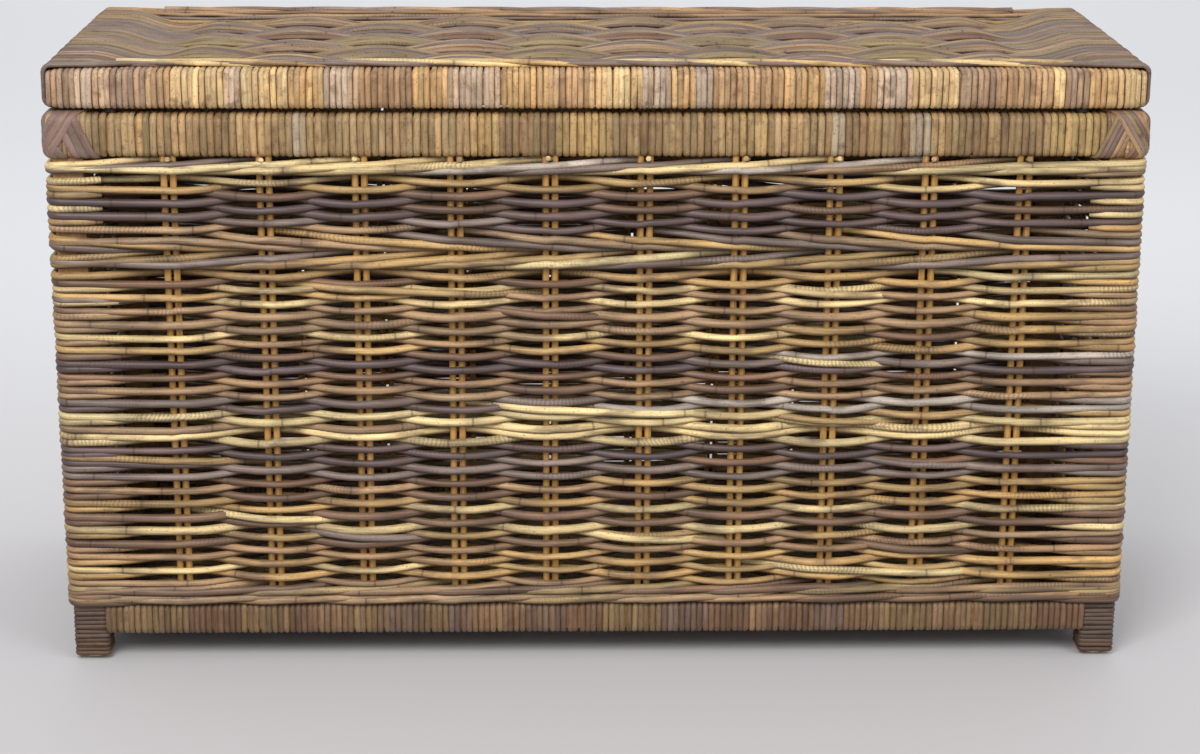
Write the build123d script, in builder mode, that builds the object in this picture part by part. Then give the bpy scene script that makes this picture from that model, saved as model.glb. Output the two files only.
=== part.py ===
from build123d import *
import os

# Wicker storage trunk: a wooden frame with round-cored rattan wrapped round its rails and legs, walls and
# base woven on rattan stakes, and a hinged lid woven on cross bars.
# X runs along the front, Y from front to back, Z up. The origin is on the floor under the middle.

os.makedirs("parts", exist_ok=True)

# Overall sizes, mm
length = 1000.0
depth = 370.0
foot_clearance = 25.5  # floor to the underside of the base rails
base_rail_height = 32.0  # rail heights are over their wrap
wall_height = 429.0  # woven wall, between the base rails and the rim
rim_height = 40.0
lid_gap = 4.0  # daylight between the rim and the closed lid
lid_height = 36.0

# Rattan
weaver = 6.4  # diameter of the rods woven round the walls
stake = 6.2  # diameter of the upright rods
stake_gap = 2.3  # between the two stakes of a pair
stake_pitch = 86.5  # pair to pair
first_pair = 98.0  # least distance from the trunk's corner to a pair
stake_depth = 12.0  # how far a stake goes into a rail's wood
stake_clearance = 0.1
wall_corner = 12.0
wrap = 3.0  # thickness of the thin rattan wound round rails and legs
upper_wale = 19.0  # heights of the bands of twisted rods, and of the weave between the upper two
upper_field = 50.0
middle_wale = 38.0
lower_wale = 18.0
section_gap = 0.2  # between wall sections at the mitred corners

# Wooden frame
post = 28.0
post_edge = 2.0
post_clearance = 0.3  # between the weave and the posts
base_rail_depth = 22.0  # wood only
base_rail_face = 1.0  # how far the wrapped base rail stands back from the weave
rail_depth = 24.0  # wood of the rim and of the lid
rail_face = 0.5
rail_corner = 8.0  # rounding of a wrapped rail
frame_corner = 10.0  # rounding of the rim's and the lid's upright corners
binding_reach = 60.0  # crossed binding at each rim corner
dowel = 8.0
dowel_reach = 16.0  # into each of the two pieces that it joins

# Bars and weave of the base and the lid
base_bar = 9.0
lid_bar = 4.5
bar_clearance = 0.1
bar_depth = 9.0  # into the wood of the rails
base_bar_height = 18.5  # above the underside of the base rails
lid_strand = 4.5
lid_bar_pitch = 82.0
first_lid_bar = 128.0  # least distance from the lid's end to a bar
lid_slope = 30.0  # length of the slope from the lid's end bands down to its weave
lid_end_reach = 7.0  # how far the end band stops short of the lid's front and back
edge_cord = 10.0  # width of the twisted cord along the lid's long edges
edge_cord_end = 66.0  # from the lid's end

# Hinges, screws, bumpers and glides
hinge_length = 60.0
hinge_from_end = 200.0
hinge_inset = 5.0  # barrel's centre, in from the rim's back face
leaf_width = 20.0
leaf_thickness = 1.5
knuckles = 5
knuckle_gap = 0.3
barrel = 4.2
barrel_clearance = 0.3
hinge_pin = 2.2
pin_clearance = 0.05
screw = 3.0
screw_head = 5.6
screw_length = 15.0
screw_spacing = 20.0
screw_slot = 0.7
bumper = 12.0
bumper_clearance = 0.3
bumper_from_end = 60.0
glide = 20.0
glide_height = 4.0
glide_nail = 3.0
glide_nail_length = 15.0

# Heights and half sizes that follow
half_length = length / 2
half_depth = depth / 2
wall_low = foot_clearance + base_rail_height
rim_low = wall_low + wall_height
rim_high = rim_low + rim_height
lid_low = rim_high + lid_gap
lid_high = lid_low + lid_height
lid_top = lid_high + lid_strand
wall = 2 * weaver + stake
stake_inset = weaver + stake / 2
post_inset = weaver + post_clearance
post_inner = post_inset + post
rail_wrapped = rail_depth + 2 * wrap
base_rail_wrapped = base_rail_depth + 2 * wrap
rim_inner = rail_face + rail_wrapped
base_inner = base_rail_face + base_rail_wrapped
wood_corner = rail_corner - wrap


def spread(span, margin, pitch):
    """Places at an even pitch about the middle of a span, as many as its margins leave room for."""
    count = int((span - 2 * margin) / pitch) + 1
    return [(i - (count - 1) / 2) * pitch for i in range(count)]


def pairs(places):
    """The two stakes of a pair at each place."""
    return [place + side * (stake + stake_gap) / 2 for place in places for side in (-1, 1)]


sides = ("front", "back", "left", "right")
long_stakes = pairs(spread(length, first_pair, stake_pitch))
end_stakes = pairs(spread(depth, first_pair, stake_pitch))
stake_places = {
    "front": [(x, -half_depth + stake_inset) for x in long_stakes],
    "back": [(x, half_depth - stake_inset) for x in long_stakes],
    "left": [(-half_length + stake_inset, y) for y in end_stakes],
    "right": [(half_length - stake_inset, y) for y in end_stakes],
}
base_bars = spread(length, first_pair, stake_pitch)
lid_bars = spread(length, first_lid_bar, lid_bar_pitch)
corners = {
    "front_left": (-1, -1),
    "front_right": (1, -1),
    "back_left": (-1, 1),
    "back_right": (1, 1),
}
post_centre = (half_length - post_inset - post / 2, half_depth - post_inset - post / 2)


def rail(side, inset, thick, low, high, reach, corner):
    """A straight rounded bar along one side: its outer face is inset from the trunk's side."""
    away = -1 if side in ("front", "left") else 1
    if side in ("front", "back"):
        plane = Plane.YZ.offset(-reach)
        across = half_depth - inset - thick / 2
    else:
        plane = Plane.XZ.offset(-reach)
        across = half_length - inset - thick / 2
    with BuildPart() as bar:
        with BuildSketch(plane):
            with Locations((away * across, (low + high) / 2)):
                RectangleRounded(thick, high - low, corner)
        extrude(amount=2 * reach)
    return bar.part


def rods(places, low, high, diameter):
    """Upright rods, one at each place."""
    with BuildPart() as group:
        with BuildSketch(Plane.XY.offset(low)):
            with Locations(*places):
                Circle(diameter / 2)
        extrude(amount=high - low)
    return group.part


def cross_rods(places, height, reach, diameter):
    """Level rods that run from front to back, one at each place along the length."""
    with BuildPart() as group:
        with BuildSketch(Plane.XZ.offset(-reach)):
            with Locations(*[(x, height) for x in places]):
                Circle(diameter / 2)
        extrude(amount=2 * reach)
    return group.part


def dowel_between(start, end):
    """A round dowel from one point to another."""
    direction = Vector(*end) - Vector(*start)
    with BuildPart() as pin:
        with BuildSketch(Plane(origin=start, z_dir=direction)):
            Circle(dowel / 2)
        extrude(amount=direction.length)
    return pin.part


def wall_section(side, low, high):
    """One side of the woven wall between two heights: outside the posts, mitred at the corners."""
    away = -1 if side in ("front", "left") else 1
    inner = wall + section_gap
    if side in ("front", "back"):
        tip, y0, y1 = half_length - section_gap, away * half_depth, away * (half_depth - inner)
        outline = [(-tip, y0), (tip, y0), (tip - inner, y1), (-tip + inner, y1)]
    else:
        tip, x0, x1 = half_depth - section_gap, away * half_length, away * (half_length - inner)
        outline = [(x0, -tip), (x0, tip), (x1, tip - inner), (x1, -tip + inner)]
    with BuildPart() as section:
        with BuildSketch(Plane.XY.offset(low)):
            RectangleRounded(length, depth, wall_corner)
            Rectangle(length - 2 * wall, depth - 2 * wall, mode=Mode.SUBTRACT)
            with GridLocations(2 * post_centre[0], 2 * post_centre[1], 2, 2):
                Rectangle(post, post, mode=Mode.SUBTRACT)
            with BuildLine():
                Polyline(*outline, close=True)
            make_face(mode=Mode.INTERSECT)
            with Locations(*stake_places[side]):
                Circle(stake / 2 + stake_clearance, mode=Mode.SUBTRACT)
        extrude(amount=high - low)
    return section.part


def wood_screw(x, y, z, up):
    """A slotted countersunk screw with its head's face at z, driven along Z."""
    with BuildPart() as body:
        with BuildSketch(Plane(origin=(x, y, z), x_dir=(1, 0, 0), z_dir=(0, -up, 0))):
            with BuildLine():
                Polyline(
                    (0, 0),
                    (screw_head / 2, 0),
                    (screw / 2, (screw_head - screw) / 2),
                    (screw / 2, screw_length - screw),
                    (0, screw_length),
                    close=True,
                )
            make_face()
        revolve(axis=Axis((x, y, z), (0, 0, 1)))
    return body.part


# ------------------------------------------------------------------ dowels and screws, which the wood is cut for
base_wood = base_rail_face + wrap
base_rail_middle = foot_clearance + base_rail_height / 2
dowel_shift = dowel * 0.75  # the two dowels that meet in a post pass each other
rim_wood = rail_face + wrap
post_top = rim_low + wrap
end_wood = rail_face + wrap + rail_depth

base_dowels = []
rim_dowels = []
lid_dowels = []
for sx, sy in corners.values():
    x_mid = sx * (half_length - base_wood - base_rail_depth / 2)
    y_mid = sy * (half_depth - base_wood - base_rail_depth / 2)
    x_joint, y_joint = half_length - post_inner, half_depth - post_inner
    high, low = base_rail_middle + dowel_shift, base_rail_middle - dowel_shift
    base_dowels.append(
        dowel_between((sx * (x_joint - dowel_reach), y_mid, high), (sx * (x_joint + dowel_reach), y_mid, high))
    )
    base_dowels.append(
        dowel_between((x_mid, sy * (y_joint - dowel_reach), low), (x_mid, sy * (y_joint + dowel_reach), low))
    )
    y_post = sy * (half_depth - rim_wood - rail_depth / 2)
    rim_dowels.append(
        dowel_between(
            (sx * post_centre[0], y_post, post_top - dowel_reach),
            (sx * post_centre[0], y_post, post_top + dowel_reach),
        )
    )
    x_side = sx * (half_length - rim_wood - rail_depth / 2)
    y_end = half_depth - end_wood
    rim_dowel_height = rim_high - wrap - dowel
    rim_dowels.append(
        dowel_between(
            (x_side, sy * (y_end - dowel_reach), rim_dowel_height),
            (x_side, sy * (y_end + dowel_reach), rim_dowel_height),
        )
    )
    x_lid = sx * (half_length - lid_strand - rail_depth / 2)
    lid_dowel_height = lid_low + lid_height / 2
    lid_dowels.append(
        dowel_between(
            (x_lid, sy * (half_depth - rim_inner - dowel_reach), lid_dowel_height),
            (x_lid, sy * (half_depth - rim_inner + dowel_reach), lid_dowel_height),
        )
    )

hinge_places = (-half_length + hinge_from_end, half_length - hinge_from_end)
hinge_y = half_depth - rail_face - hinge_inset
hinge_z = rim_high + lid_gap / 2
screw_y = hinge_y - leaf_width / 2 - barrel / 4
screw_places = [x + step for x in hinge_places for step in (-screw_spacing, 0, screw_spacing)]
rim_screws = [wood_screw(x, screw_y, rim_high + leaf_thickness, -1) for x in screw_places]
lid_screws = [wood_screw(x, screw_y, lid_low - leaf_thickness, 1) for x in screw_places]

for name, group in (("base_dowels", base_dowels), ("rim_dowels", rim_dowels), ("lid_dowels", lid_dowels)):
    with BuildPart() as dowels:
        add(group)
    dowels.part.label = name
    export_step(dowels.part, f"parts/{name}.step")

for name, group, face in (
    ("rim_hinge_screws", rim_screws, rim_high + leaf_thickness),
    ("lid_hinge_screws", lid_screws, lid_low - leaf_thickness),
):
    with BuildPart() as screws:
        add(group)
        with Locations(*[(x, screw_y, face) for x in screw_places]):
            Box(screw_head, screw_slot, screw_slot, mode=Mode.SUBTRACT)
    screws.part.label = name
    export_step(screws.part, f"parts/{name}.step")

# ------------------------------------------------------------------ posts, foot wraps and glides
with BuildPart() as glides:
    with BuildSketch():
        with GridLocations(2 * post_centre[0], 2 * post_centre[1], 2, 2):
            Circle(glide / 2)
    extrude(amount=glide_height)
    fillet(glides.edges().group_by(Axis.Z)[0], glide_height / 2)
    with BuildSketch(Plane.XY.offset(glide_height)):
        with GridLocations(2 * post_centre[0], 2 * post_centre[1], 2, 2):
            Circle(glide_nail / 2)
    extrude(amount=glide_nail_length)
glides.part.label = "glides"
export_step(glides.part, "parts/glides.step")

for corner, (sx, sy) in corners.items():
    with BuildPart() as post_part:
        with BuildSketch(Plane.XY.offset(glide_height)):
            with Locations((sx * post_centre[0], sy * post_centre[1])):
                Rectangle(post, post)
        extrude(amount=post_top - glide_height)
        fillet(post_part.edges().filter_by(Axis.Z), post_edge)
        add(base_dowels + rim_dowels, mode=Mode.SUBTRACT)
        add(glides.part, mode=Mode.SUBTRACT)
    post_part.part.label = f"post_{corner}"
    export_step(post_part.part, f"parts/post_{corner}.step")

    with BuildPart() as foot_wrap:
        with BuildSketch(Plane.XY.offset(glide_height)):
            with Locations((sx * post_centre[0], sy * post_centre[1])):
                RectangleRounded(post + 2 * wrap, post + 2 * wrap, post_edge + wrap)
        extrude(amount=wall_low - glide_height)
        with BuildSketch(Plane.XY.offset(foot_clearance)):
            Rectangle(2 * (half_length - post_inner), depth)
            Rectangle(length, 2 * (half_depth - post_inner))
        extrude(amount=base_rail_height, mode=Mode.SUBTRACT)
        with BuildSketch(Plane.XY.offset(glide_height)):
            with Locations((sx * post_centre[0], sy * post_centre[1])):
                Rectangle(post, post)
        extrude(amount=wall_low, mode=Mode.SUBTRACT)
    foot_wrap.part.label = f"foot_wrap_{corner}"
    export_step(foot_wrap.part, f"parts/foot_wrap_{corner}.step")

# ------------------------------------------------------------------ base: rails, their wraps, bars and weave
base_bar_z = foot_clearance + base_bar_height
bar_holes = cross_rods(
    base_bars,
    base_bar_z,
    half_depth - base_inner + wrap + bar_depth + bar_clearance,
    base_bar + 2 * bar_clearance,
)
for side in sides:
    reach = (half_length if side in ("front", "back") else half_depth) - post_inner
    stake_holes = rods(
        stake_places[side], wall_low - wrap - stake_depth, wall_low, stake + 2 * stake_clearance
    )
    wood = rail(
        side, base_wood, base_rail_depth, foot_clearance + wrap, wall_low - wrap, reach, wood_corner
    )
    sleeve = rail(side, base_rail_face, base_rail_wrapped, foot_clearance, wall_low, reach, rail_corner)
    with BuildPart() as base_rail:
        add(wood)
        add(stake_holes, mode=Mode.SUBTRACT)
        add(base_dowels, mode=Mode.SUBTRACT)
        if side in ("front", "back"):
            add(bar_holes, mode=Mode.SUBTRACT)
    base_rail.part.label = f"base_rail_{side}"
    export_step(base_rail.part, f"parts/base_rail_{side}.step")

    with BuildPart() as base_wrap:
        add(sleeve)
        add(wood, mode=Mode.SUBTRACT)
        add(stake_holes, mode=Mode.SUBTRACT)
        if side in ("front", "back"):
            add(bar_holes, mode=Mode.SUBTRACT)
    base_wrap.part.label = f"base_wrap_{side}"
    export_step(base_wrap.part, f"parts/base_wrap_{side}.step")

with BuildPart() as bars:
    add(cross_rods(base_bars, base_bar_z, half_depth - base_inner + wrap + bar_depth, base_bar))
bars.part.label = "base_bars"
export_step(bars.part, "parts/base_bars.step")

base_half = base_bar / 2 + weaver
with BuildPart() as base_weave:
    with BuildSketch(Plane.XY.offset(base_bar_z - base_half)):
        Rectangle(length - 2 * base_inner, depth - 2 * base_inner)
        with GridLocations(2 * post_centre[0], 2 * post_centre[1], 2, 2):
            Rectangle(post, post, mode=Mode.SUBTRACT)
    extrude(amount=2 * base_half)
    add(bar_holes, mode=Mode.SUBTRACT)
base_weave.part.label = "base_weave"
export_step(base_weave.part, "parts/base_weave.step")

# ------------------------------------------------------------------ walls: stakes, woven fields and wales
upper_wale_low = rim_low - upper_wale
middle_wale_high = upper_wale_low - upper_field
middle_wale_low = middle_wale_high - middle_wale
lower_wale_high = wall_low + lower_wale
for side in sides:
    with BuildPart() as stakes:
        add(rods(stake_places[side], wall_low - wrap - stake_depth, rim_low + wrap + stake_depth, stake))
    stakes.part.label = f"stakes_{side}"
    export_step(stakes.part, f"parts/stakes_{side}.step")

    with BuildPart() as weave:
        add(wall_section(side, lower_wale_high, middle_wale_low))
        add(wall_section(side, middle_wale_high, upper_wale_low))
    weave.part.label = f"weave_{side}"
    export_step(weave.part, f"parts/weave_{side}.step")

for name, low, high in (
    ("wale_upper", upper_wale_low, rim_low),
    ("wale_middle", middle_wale_low, middle_wale_high),
    ("wale_lower", wall_low, lower_wale_high),
):
    with BuildPart() as wale:
        for side in sides:
            add(wall_section(side, low, high))
    wale.part.label = name
    export_step(wale.part, f"parts/{name}.step")

# ------------------------------------------------------------------ rim: rails, their wraps and the corner bindings
rim_wood_reach = {"front": half_length - rim_wood, "back": half_length - rim_wood}
rim_wood_reach.update({"left": half_depth - end_wood, "right": half_depth - end_wood})
rim_rails = []
for side in sides:
    along = half_length if side in ("front", "back") else half_depth
    stake_holes = rods(
        stake_places[side], rim_low, rim_low + wrap + stake_depth, stake + 2 * stake_clearance
    )
    wood = rail(side, rim_wood, rail_depth, rim_low + wrap, rim_high - wrap, rim_wood_reach[side], wood_corner)
    sleeve = rail(
        side, rail_face, rail_wrapped, rim_low, rim_high, along - rail_face - binding_reach, rail_corner
    )
    rim_rails.append(wood)
    with BuildPart() as rim_rail:
        add(wood)
        with BuildSketch(Plane.XY.offset(rim_low)):
            RectangleRounded(length - 2 * rim_wood, depth - 2 * rim_wood, frame_corner - wrap)
        extrude(amount=rim_height, mode=Mode.INTERSECT)
        add(stake_holes, mode=Mode.SUBTRACT)
        add(rim_dowels, mode=Mode.SUBTRACT)
        if side == "back":
            add(rim_screws, mode=Mode.SUBTRACT)
    rim_rail.part.label = f"rim_rail_{side}"
    export_step(rim_rail.part, f"parts/rim_rail_{side}.step")

    with BuildPart() as rim_wrap:
        add(sleeve)
        add(wood, mode=Mode.SUBTRACT)
        add(stake_holes, mode=Mode.SUBTRACT)
        if side == "back":
            add(rim_screws, mode=Mode.SUBTRACT)
    rim_wrap.part.label = f"rim_wrap_{side}"
    export_step(rim_wrap.part, f"parts/rim_wrap_{side}.step")

with BuildPart() as bindings:
    with BuildSketch(Plane.XY.offset(rim_low)):
        RectangleRounded(length - 2 * rail_face, depth - 2 * rail_face, frame_corner)
    extrude(amount=rim_height)
    fillet(bindings.edges().group_by(Axis.Z)[0] + bindings.edges().group_by(Axis.Z)[-1], rail_corner)
    with BuildSketch(Plane.XY.offset(rim_low)):
        Rectangle(length - 2 * rim_inner, depth - 2 * rim_inner)
        Rectangle(length - 2 * rail_face - 2 * binding_reach, depth)
        Rectangle(length, depth - 2 * rail_face - 2 * binding_reach)
    extrude(amount=rim_height, mode=Mode.SUBTRACT)
    add(rim_rails + rim_dowels, mode=Mode.SUBTRACT)
    with BuildSketch(Plane.XY.offset(rim_low)):
        with GridLocations(2 * post_centre[0], 2 * post_centre[1], 2, 2):
            Rectangle(post, post)
    extrude(amount=wrap, mode=Mode.SUBTRACT)
bindings.part.label = "rim_corner_bindings"
export_step(bindings.part, "parts/rim_corner_bindings.step")

# ------------------------------------------------------------------ lid: rails, wraps, bars, weave and edge cords
lid_bar_z = lid_high - lid_strand - lid_bar / 2
lid_bar_holes = cross_rods(
    lid_bars,
    lid_bar_z,
    half_depth - rim_inner + wrap + bar_depth + bar_clearance,
    lid_bar + 2 * bar_clearance,
)
lid_ends = half_length - lid_strand
for side in ("front", "back"):
    wood = rail(
        side, rim_wood, rail_depth, lid_low + wrap, lid_high - wrap, lid_ends - frame_corner, wood_corner
    )
    with BuildPart() as lid_rail:
        add(wood)
        add(lid_bar_holes, mode=Mode.SUBTRACT)
        add(lid_dowels, mode=Mode.SUBTRACT)
        if side == "back":
            add(lid_screws, mode=Mode.SUBTRACT)
    lid_rail.part.label = f"lid_rail_{side}"
    export_step(lid_rail.part, f"parts/lid_rail_{side}.step")

    sleeve = rail(side, rail_face, rail_wrapped, lid_low, lid_high, lid_ends, rail_corner)
    with BuildPart() as lid_wrap:
        add(sleeve)
        with BuildSketch(Plane.XY.offset(lid_low)):
            RectangleRounded(2 * lid_ends, depth - 2 * rail_face, frame_corner)
        extrude(amount=lid_height, mode=Mode.INTERSECT)
        add(wood, mode=Mode.SUBTRACT)
        add(lid_bar_holes, mode=Mode.SUBTRACT)
        add(lid_dowels, mode=Mode.SUBTRACT)
        if side == "back":
            add(lid_screws, mode=Mode.SUBTRACT)
    lid_wrap.part.label = f"lid_wrap_{side}"
    export_step(lid_wrap.part, f"parts/lid_wrap_{side}.step")

end_rail_reach = half_depth - rim_inner
for side in ("left", "right"):
    away = -1 if side == "left" else 1
    wood = rail(
        side, lid_strand, rail_depth, lid_low + lid_strand, lid_high, end_rail_reach, wood_corner
    )
    with BuildPart() as lid_end_rail:
        add(wood)
        add(lid_dowels, mode=Mode.SUBTRACT)
    lid_end_rail.part.label = f"lid_rail_{side}"
    export_step(lid_end_rail.part, f"parts/lid_rail_{side}.step")

    end_width = rail_depth + 2 * lid_strand
    with BuildPart() as end_wrap:
        with BuildSketch(Plane.XY.offset(lid_low)):
            with Locations((away * (half_length - end_width / 2), 0)):
                Rectangle(end_width, depth - 2 * lid_end_reach)
        extrude(amount=lid_top - lid_low)
        outer_face = end_wrap.faces().sort_by(Axis.X)[0 if away < 0 else -1]
        fillet(outer_face.edges(), rail_corner)
        with BuildSketch(Plane.XY.offset(lid_low)):
            for sy in (-1, 1):
                with Locations((0, sy * (end_rail_reach + depth / 2))):
                    Rectangle(2 * lid_ends, depth)
        extrude(amount=lid_height, mode=Mode.SUBTRACT)
        add(wood, mode=Mode.SUBTRACT)
    end_wrap.part.label = f"lid_wrap_{side}"
    export_step(end_wrap.part, f"parts/lid_wrap_{side}.step")

with BuildPart() as lid_bar_group:
    add(cross_rods(lid_bars, lid_bar_z, half_depth - rim_inner + wrap + bar_depth, lid_bar))
lid_bar_group.part.label = "lid_bars"
export_step(lid_bar_group.part, "parts/lid_bars.step")

lid_half = lid_bar / 2 + lid_strand
lid_weave_end = half_length - end_width
with BuildPart() as lid_weave:
    with BuildSketch(Plane.XZ.offset(-end_rail_reach)):
        with BuildLine():
            Polyline(
                (-lid_weave_end, lid_bar_z - lid_half),
                (lid_weave_end, lid_bar_z - lid_half),
                (lid_weave_end, lid_top),
                (lid_weave_end - lid_slope, lid_high),
                (-lid_weave_end + lid_slope, lid_high),
                (-lid_weave_end, lid_top),
                close=True,
            )
        make_face()
    extrude(amount=2 * end_rail_reach)
    add(lid_bar_holes, mode=Mode.SUBTRACT)
lid_weave.part.label = "lid_weave"
export_step(lid_weave.part, "parts/lid_weave.step")

with BuildPart() as edge_cords:
    with BuildSketch(Plane.XY.offset(lid_high)):
        with GridLocations(0, 2 * (end_rail_reach + edge_cord / 2), 1, 2):
            Rectangle(length - 2 * edge_cord_end, edge_cord)
    extrude(amount=lid_strand)
    fillet(edge_cords.edges().group_by(Axis.Z)[-1].filter_by(Axis.X), lid_strand * 0.8)
edge_cords.part.label = "lid_edge_cords"
export_step(edge_cords.part, "parts/lid_edge_cords.step")

with BuildPart() as bumpers:
    with BuildSketch(Plane.XY.offset(lid_low - lid_gap + bumper_clearance)):
        with GridLocations(
            2 * (half_length - bumper_from_end), 2 * (half_depth - rail_face - rail_wrapped / 2), 2, 2
        ):
            Circle(bumper / 2)
    extrude(amount=lid_gap - bumper_clearance)
bumpers.part.label = "lid_bumpers"
export_step(bumpers.part, "parts/lid_bumpers.step")

# ------------------------------------------------------------------ hinges
knuckle_length = hinge_length / knuckles


def hinge_leaf(x, low, own, screws):
    """A leaf at height low with its own knuckles, cut clear of the other leaf's."""
    with BuildPart() as leaf:
        with Locations((x, hinge_y - leaf_width / 2, low)):
            Box(hinge_length, leaf_width, leaf_thickness, align=(Align.CENTER, Align.CENTER, Align.MIN))
        for i in range(knuckles):
            start = x - hinge_length / 2 + i * knuckle_length
            mine = i % 2 == own
            with BuildSketch(Plane(origin=(start, hinge_y, hinge_z), x_dir=(0, 1, 0), z_dir=(1, 0, 0))):
                Circle(barrel / 2 if mine else barrel / 2 + barrel_clearance)
            extrude(amount=knuckle_length, mode=Mode.ADD if mine else Mode.SUBTRACT)
        for i in range(knuckles):
            if i % 2 == own:
                ends = x - hinge_length / 2 + i * knuckle_length
                with Locations((ends, hinge_y, hinge_z), (ends + knuckle_length, hinge_y, hinge_z)):
                    Box(knuckle_gap, barrel + 1, barrel + 1, mode=Mode.SUBTRACT)
        with BuildSketch(Plane(origin=(x, hinge_y, hinge_z), x_dir=(0, 1, 0), z_dir=(1, 0, 0))):
            Circle(hinge_pin / 2 + pin_clearance)
        extrude(amount=hinge_length, both=True, mode=Mode.SUBTRACT)
        add(screws, mode=Mode.SUBTRACT)
    return leaf.part


with BuildPart() as rim_leaves:
    add([hinge_leaf(x, rim_high, 0, rim_screws) for x in hinge_places])
rim_leaves.part.label = "hinge_leaves_rim"
export_step(rim_leaves.part, "parts/hinge_leaves_rim.step")

with BuildPart() as lid_leaves:
    add([hinge_leaf(x, lid_low - leaf_thickness, 1, lid_screws) for x in hinge_places])
lid_leaves.part.label = "hinge_leaves_lid"
export_step(lid_leaves.part, "parts/hinge_leaves_lid.step")

with BuildPart() as pins:
    for x in hinge_places:
        with BuildSketch(Plane(origin=(x - hinge_length / 2, hinge_y, hinge_z), x_dir=(0, 1, 0), z_dir=(1, 0, 0))):
            Circle(hinge_pin / 2)
        extrude(amount=hinge_length)
pins.part.label = "hinge_pins"
export_step(pins.part, "parts/hinge_pins.step")
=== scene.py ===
import math
import random

import bmesh
import bpy
from mathutils import Euler, Matrix, Vector


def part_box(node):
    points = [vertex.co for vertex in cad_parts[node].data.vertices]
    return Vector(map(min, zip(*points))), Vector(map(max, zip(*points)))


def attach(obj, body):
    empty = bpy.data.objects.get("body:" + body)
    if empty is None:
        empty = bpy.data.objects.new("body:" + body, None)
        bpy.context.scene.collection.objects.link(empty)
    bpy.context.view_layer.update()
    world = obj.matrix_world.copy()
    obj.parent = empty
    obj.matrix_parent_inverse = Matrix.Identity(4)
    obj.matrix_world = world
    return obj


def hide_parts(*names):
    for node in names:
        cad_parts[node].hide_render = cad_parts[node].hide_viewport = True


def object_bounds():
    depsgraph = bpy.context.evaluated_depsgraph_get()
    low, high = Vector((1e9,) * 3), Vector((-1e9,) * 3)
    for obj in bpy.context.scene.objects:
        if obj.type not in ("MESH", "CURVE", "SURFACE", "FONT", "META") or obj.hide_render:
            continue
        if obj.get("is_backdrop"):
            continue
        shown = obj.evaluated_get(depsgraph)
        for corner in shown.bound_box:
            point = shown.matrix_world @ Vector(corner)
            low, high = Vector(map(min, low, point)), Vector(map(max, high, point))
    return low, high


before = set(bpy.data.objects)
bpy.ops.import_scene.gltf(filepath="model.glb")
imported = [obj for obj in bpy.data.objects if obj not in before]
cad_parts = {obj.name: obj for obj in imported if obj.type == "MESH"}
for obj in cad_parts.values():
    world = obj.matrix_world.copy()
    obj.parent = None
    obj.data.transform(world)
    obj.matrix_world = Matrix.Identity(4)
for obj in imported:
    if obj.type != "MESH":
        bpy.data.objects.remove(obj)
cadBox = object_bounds()
print("frame loaded")

mm = 0.001


# colours of the rattan, as a paint program shows them
caneColours = {
    "straw": (0.83, 0.73, 0.52),
    "honey": (0.71, 0.57, 0.36),
    "tan": (0.64, 0.51, 0.37),
    "olive": (0.58, 0.49, 0.33),
    "umber": (0.47, 0.35, 0.26),
    "slate": (0.49, 0.42, 0.38),
    "plum": (0.36, 0.29, 0.28),
    "silver": (0.68, 0.62, 0.56),
    "peel": (0.50, 0.40, 0.36),
}


def linear(colour):
    return [c / 12.92 if c <= 0.04045 else ((c + 0.055) / 1.055) ** 2.4 for c in colour]


def opaque(colour):
    return (*linear(colour), 1.0)


def pickColour(names, dice, spread=0.12):
    # one of these colours, a little lighter or darker, and a little warmer or cooler
    r, g, b = linear(caneColours[dice.choice(names)])
    light = 1 + dice.uniform(-spread, spread)
    warm = dice.uniform(-0.05, 0.05)
    return (r * light * (1 + warm), g * light, b * light * (1 - warm), 1.0)


class Value:
    # a node's output, which sums can be written with
    def __init__(self, graph, socket):
        self.graph = graph
        self.socket = socket

    def maths(self, operation, *terms):
        return self.graph.add("ShaderNodeMath", {"operation": operation}, dict(enumerate(terms)))

    def __add__(self, other):
        return self.maths("ADD", self, other)

    def __radd__(self, other):
        return self.maths("ADD", other, self)

    def __sub__(self, other):
        return self.maths("SUBTRACT", self, other)

    def __mul__(self, other):
        return self.maths("MULTIPLY", self, other)

    def __truediv__(self, other):
        return self.maths("DIVIDE", self, other)

    def __abs__(self):
        return self.maths("ABSOLUTE", self)

    def fraction(self):
        return self.maths("FRACT", self)

    def between(self, low, high):
        # 0 at low, 1 at high, and smooth in between
        ends = {0: self, 1: low, 2: high, 3: 0.0, 4: 1.0}
        return self.graph.add("ShaderNodeMapRange", {"interpolation_type": "SMOOTHSTEP"}, ends)


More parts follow.
